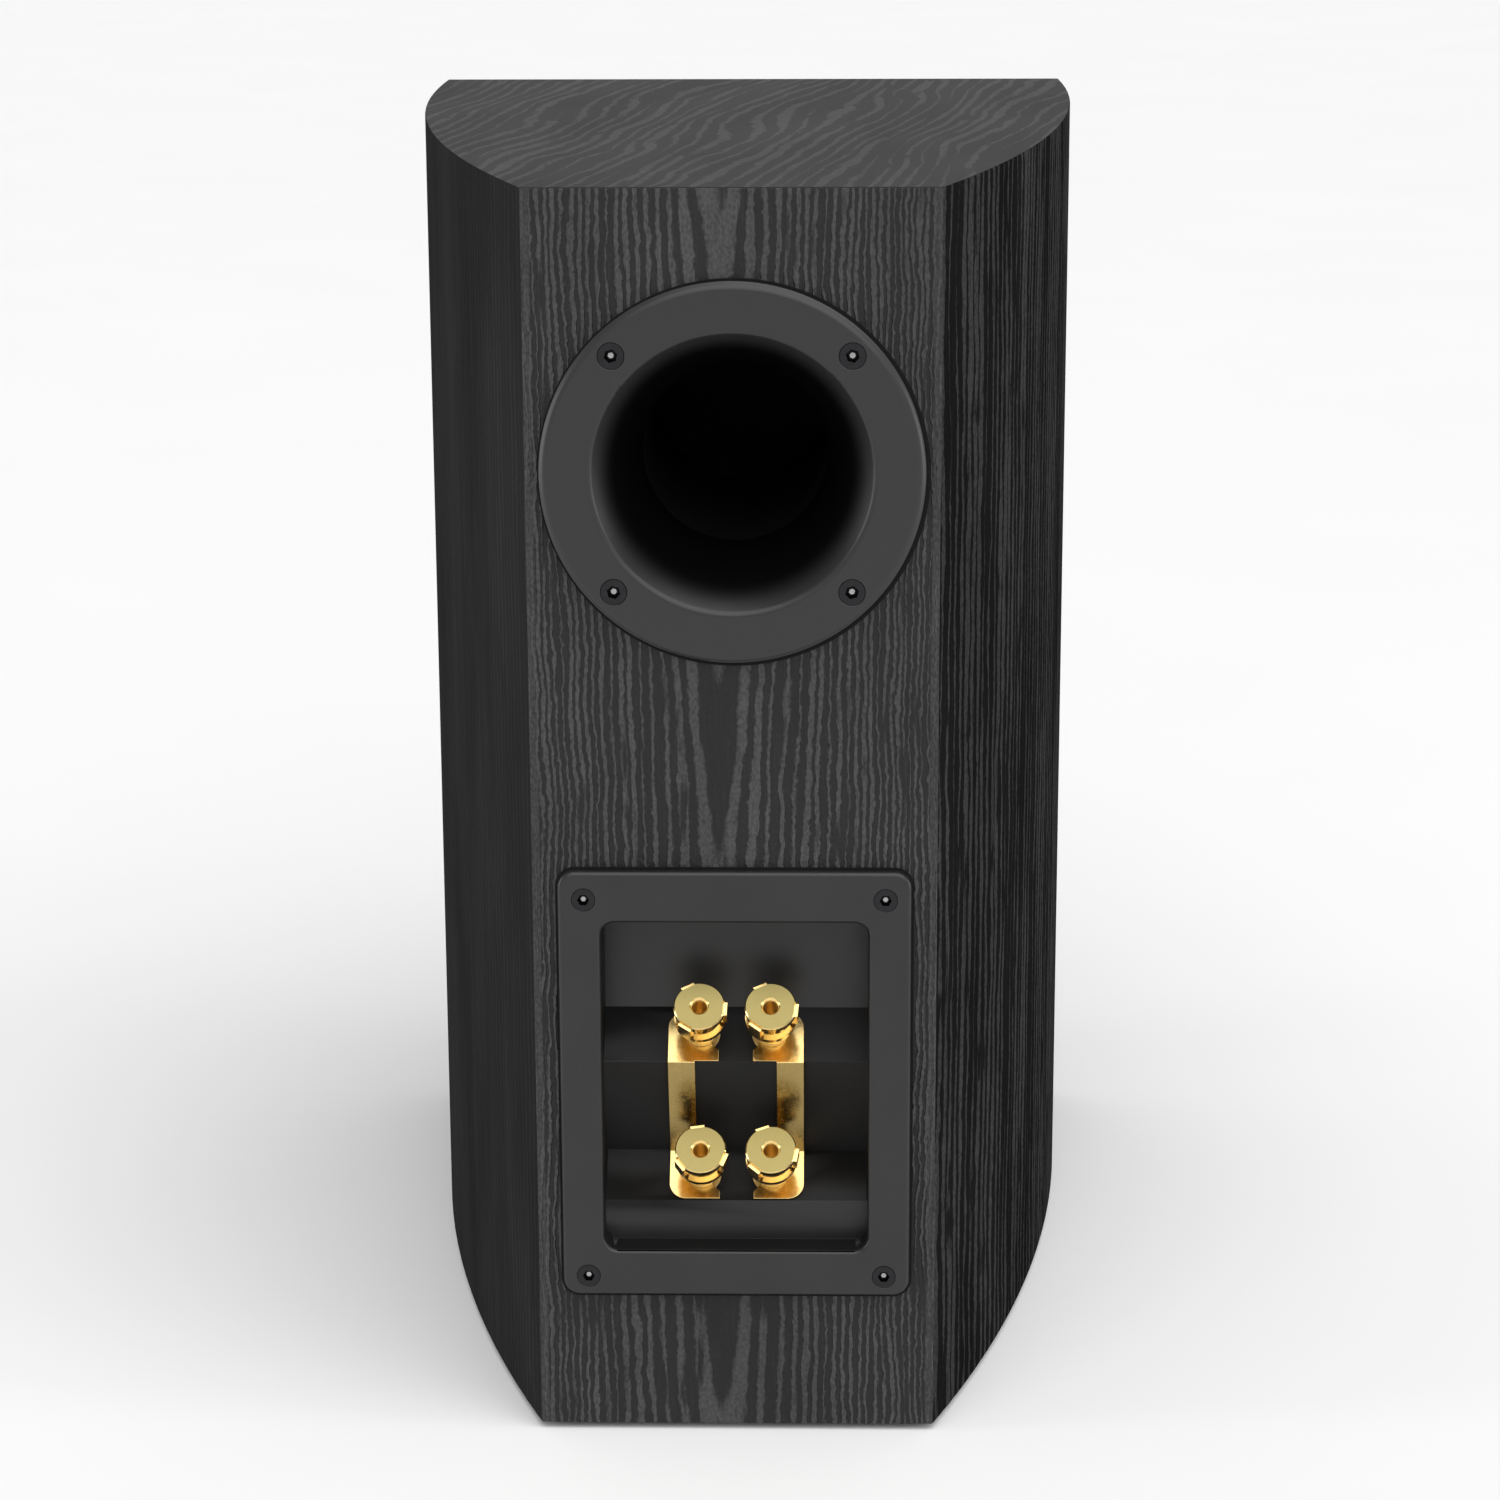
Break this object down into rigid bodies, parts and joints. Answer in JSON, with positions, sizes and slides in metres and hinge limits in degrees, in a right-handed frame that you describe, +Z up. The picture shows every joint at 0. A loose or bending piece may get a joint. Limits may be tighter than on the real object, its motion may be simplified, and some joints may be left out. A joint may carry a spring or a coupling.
{
  "type": "bookshelf speaker",
  "caption": "Two-way bookshelf speaker with a curved wood-grain cabinet, rear bass port, and a recessed cup of gold binding posts joined by jumper plates.",
  "frame": {"origin": "on the surface it stands on, under the middle of the whole speaker", "axes": "+Z up, -Y out of the front with the drivers, +Y out of the back with the port and posts, +X to the right seen from the front"},
  "size_m": [0.196, 0.2806, 0.342],
  "materials": {
    "black_ash_vinyl": "black ash wood-grain wrap with raised grain, satin",
    "baffle_vinyl": "black ash wood-grain wrap, satin",
    "raw_board": "raw fibreboard",
    "wadding": "polyester wadding",
    "rubber": "matt rubber",
    "zinc_steel": "zinc plated",
    "moulded_black": "fine moulded texture, satin",
    "port_black": "fine moulded texture, satin",
    "tube_black": "smooth matt",
    "foam_gasket": "closed-cell foam",
    "black_screw": "black oxide",
    "gold_plate": "polished gold plate",
    "knob_gold": "gold plate, satin on top and polished at the sides",
    "nickel_brass": "plain turned brass",
    "frame_black": "textured black paint",
    "plated_steel": "zinc plated steel",
    "ferrite": "ferrite magnet, matt",
    "surround_rubber": "butyl rubber, low sheen",
    "spider_cloth": "resin-stiffened woven cloth",
    "cone_pulp": "coated paper pulp",
    "dust_cap_dark": "coated fabric",
    "copper_winding": "enamelled copper wire",
    "silk_dome": "coated silk",
    "circuit_board": "green solder mask",
    "film_capacitor": "yellow film wrap",
    "cement_resistor": "white ceramic body",
    "red_sleeve": "soft PVC",
    "black_sleeve": "soft PVC"
  },
  "bodies": {
    "cabinet": {"front_baffle": "baffle_vinyl", "rear_panel": "black_ash_vinyl", "left_side_panel": "black_ash_vinyl", "right_side_panel": "black_ash_vinyl", "top_panel": "black_ash_vinyl", "bottom_panel": "black_ash_vinyl", "shelf_brace": "raw_board", "side_wadding": "wadding", "rubber_feet": "rubber", "foot_screws": "zinc_steel", "grille_sockets": "rubber", "port_flange": "port_black", "port_tube": "tube_black", "port_gasket": "foam_gasket", "port_screws": "black_screw", "terminal_cup": "moulded_black", "terminal_gasket": "foam_gasket", "terminal_screws": "black_screw", "post_nuts": "nickel_brass", "solder_lugs": "nickel_brass", "post_stud_upper_left": "gold_plate", "post_stud_upper_right": "gold_plate", "post_stud_lower_left": "gold_plate", "post_stud_lower_right": "gold_plate", "woofer_frame": "frame_black", "woofer_gasket": "foam_gasket", "woofer_screws": "black_screw", "woofer_top_plate": "plated_steel", "woofer_magnet": "ferrite", "woofer_back_plate": "plated_steel", "woofer_surround": "surround_rubber", "woofer_spider": "spider_cloth", "tweeter_faceplate": "frame_black", "tweeter_gasket": "foam_gasket", "tweeter_screws": "black_screw", "tweeter_motor": "ferrite", "tweeter_surround": "surround_rubber", "crossover_board": "circuit_board", "crossover_standoffs": "zinc_steel", "crossover_coils": "copper_winding", "crossover_capacitors": "film_capacitor", "crossover_resistors": "cement_resistor", "red_wires": "red_sleeve", "black_wires": "black_sleeve"},
    "washer_upper_left": {"clamp_washer_upper_left": "gold_plate"},
    "knob_upper_left": {"post_knob_upper_left": "knob_gold"},
    "washer_upper_right": {"clamp_washer_upper_right": "gold_plate"},
    "knob_upper_right": {"post_knob_upper_right": "knob_gold"},
    "washer_lower_left": {"clamp_washer_lower_left": "gold_plate"},
    "knob_lower_left": {"post_knob_lower_left": "knob_gold"},
    "washer_lower_right": {"clamp_washer_lower_right": "gold_plate"},
    "knob_lower_right": {"post_knob_lower_right": "knob_gold"},
    "jumper_left": {"jumper_left": "gold_plate"},
    "jumper_right": {"jumper_right": "gold_plate"},
    "woofer_moving": {"woofer_cone": "cone_pulp", "woofer_dust_cap": "dust_cap_dark", "woofer_voice_coil": "copper_winding"},
    "tweeter_moving": {"tweeter_dome": "silk_dome"}
  },
  "joints": [
    {"name": "post_travel_upper_left", "type": "slide", "parent": "cabinet", "child": "washer_upper_left", "axis": [0, 0.7071, 0.7071], "range_m": [0, 0.0048]},
    {"name": "post_turn_upper_left", "type": "hinge", "parent": "washer_upper_left", "child": "knob_upper_left", "pos_m": [0.00953, 0.12911, 0.11726], "axis": [0, 0.7071, 0.7071], "range_deg": [0, 2162]},
    {"name": "post_travel_upper_right", "type": "slide", "parent": "cabinet", "child": "washer_upper_right", "axis": [0, 0.7071, 0.7071], "range_m": [0, 0.0048]},
    {"name": "post_turn_upper_right", "type": "hinge", "parent": "washer_upper_right", "child": "knob_upper_right", "pos_m": [-0.00953, 0.12911, 0.11726], "axis": [0, 0.7071, 0.7071], "range_deg": [0, 2162]},
    {"name": "post_travel_lower_left", "type": "slide", "parent": "cabinet", "child": "washer_lower_left", "axis": [0, 0.7071, 0.7071], "range_m": [0, 0.0048]},
    {"name": "post_turn_lower_left", "type": "hinge", "parent": "washer_lower_left", "child": "knob_lower_left", "pos_m": [0.00953, 0.12856, 0.07631], "axis": [0, 0.7071, 0.7071], "range_deg": [0, 2162]},
    {"name": "post_travel_lower_right", "type": "slide", "parent": "cabinet", "child": "washer_lower_right", "axis": [0, 0.7071, 0.7071], "range_m": [0, 0.0048]},
    {"name": "post_turn_lower_right", "type": "hinge", "parent": "washer_lower_right", "child": "knob_lower_right", "pos_m": [-0.00953, 0.12856, 0.07631], "axis": [0, 0.7071, 0.7071], "range_deg": [0, 2162]},
    {"name": "jumper_slide_left", "type": "slide", "parent": "cabinet", "child": "jumper_left", "axis": [1, 0, 0], "range_m": [0, 0.014]},
    {"name": "jumper_slide_right", "type": "slide", "parent": "cabinet", "child": "jumper_right", "axis": [-1, 0, 0], "range_m": [0, 0.014]},
    {"name": "woofer_stroke", "type": "slide", "parent": "cabinet", "child": "woofer_moving", "axis": [0, -1, 0], "range_m": [-0.004, 0.004], "stiffness_N_per_m": 1200, "deforming": ["woofer_surround", "woofer_spider"]},
    {"name": "tweeter_stroke", "type": "slide", "parent": "cabinet", "child": "tweeter_moving", "axis": [0, -1, 0], "range_m": [-0.0003, 0.0003], "stiffness_N_per_m": 150, "deforming": ["tweeter_surround"]}
  ],
  "couplings": [
    {"joint": "post_turn_upper_left", "follows": "post_travel_upper_left", "rad_per_m": 7854},
    {"joint": "post_turn_upper_right", "follows": "post_travel_upper_right", "rad_per_m": 7854},
    {"joint": "post_turn_lower_left", "follows": "post_travel_lower_left", "rad_per_m": 7854},
    {"joint": "post_turn_lower_right", "follows": "post_travel_lower_right", "rad_per_m": 7854}
  ]
}
